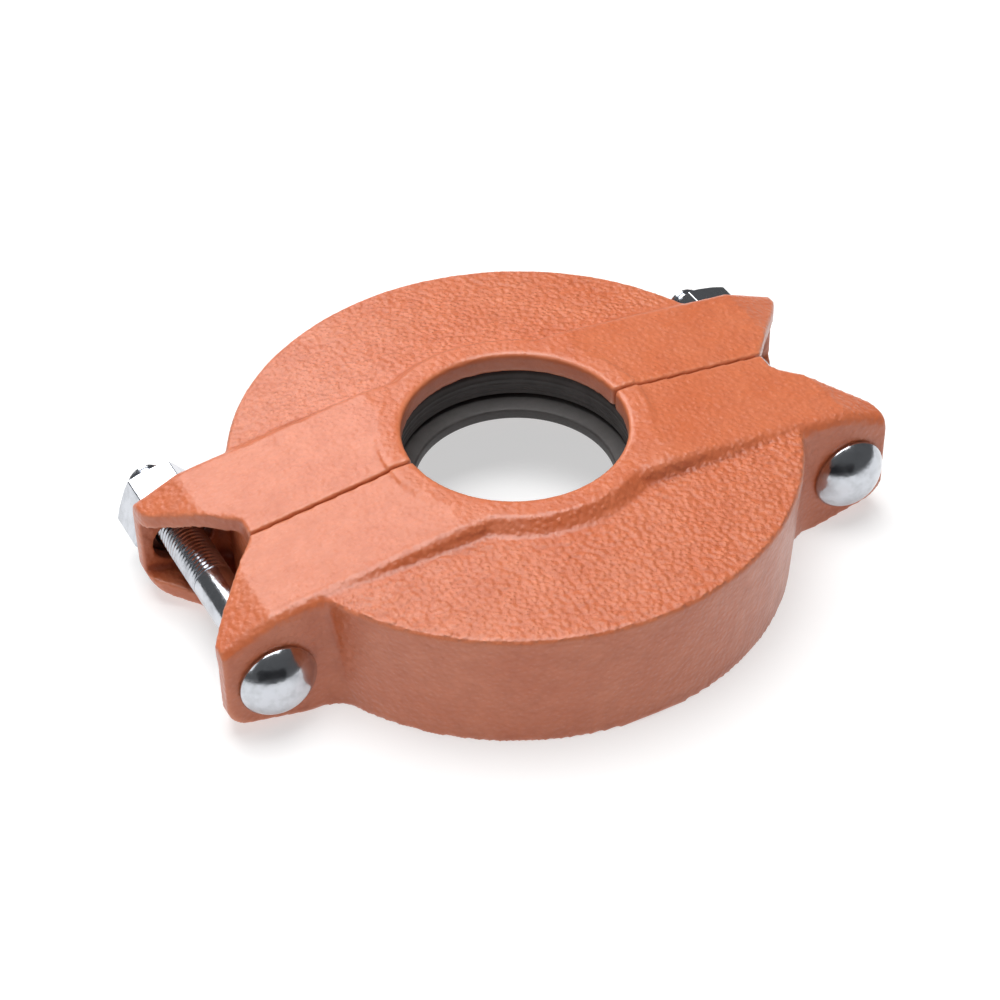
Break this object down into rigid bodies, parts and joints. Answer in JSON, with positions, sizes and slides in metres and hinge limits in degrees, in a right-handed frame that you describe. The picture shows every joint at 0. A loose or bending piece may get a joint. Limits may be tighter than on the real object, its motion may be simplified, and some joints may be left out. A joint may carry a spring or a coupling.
{
  "type": "grooved reducing pipe coupling",
  "caption": "Bolted two-piece cast housing coupling that joins a large grooved pipe to a small one over a rubber reducing gasket.",
  "frame": {"origin": "on the pipe axis, in the bottom face that rests on the floor", "axes": "+Z along the pipe axis from the large pipe to the small one; +X along the parting line towards the right-hand ear; +Y along the bolts from their heads to their nuts"},
  "size_m": [0.279, 0.2178, 0.06],
  "materials": {
    "orange_paint": "enamel paint over sand-cast ductile iron",
    "black_rubber": "moulded, satin",
    "zinc_plate": "bright zinc plating"
  },
  "bodies": {
    "head_side": {"head_side_housing": "orange_paint", "gasket": "black_rubber", "bolt_left": "zinc_plate", "bolt_right": "zinc_plate"},
    "nut_side": {"nut_side_housing": "orange_paint"},
    "left_nut": {"nut_left": "zinc_plate"},
    "right_nut": {"nut_right": "zinc_plate"}
  },
  "joints": [
    {"name": "housing_release", "type": "slide", "parent": "head_side", "child": "nut_side", "axis": [0, 1, 0], "range_m": [0, 0.012]},
    {"name": "nut_left_turn", "type": "hinge", "parent": "nut_side", "child": "left_nut", "pos_m": [-0.12, 0.048, 0.0225], "axis": [0, 1, 0], "range_deg": [0, 2160]},
    {"name": "nut_right_turn", "type": "hinge", "parent": "nut_side", "child": "right_nut", "pos_m": [0.12, 0.0445, 0.0225], "axis": [0, 1, 0], "range_deg": [0, 2160]}
  ],
  "couplings": [
    {"joint": "nut_left_turn", "follows": "housing_release", "rad_per_m": 3141.6},
    {"joint": "nut_right_turn", "follows": "housing_release", "rad_per_m": 3141.6}
  ]
}
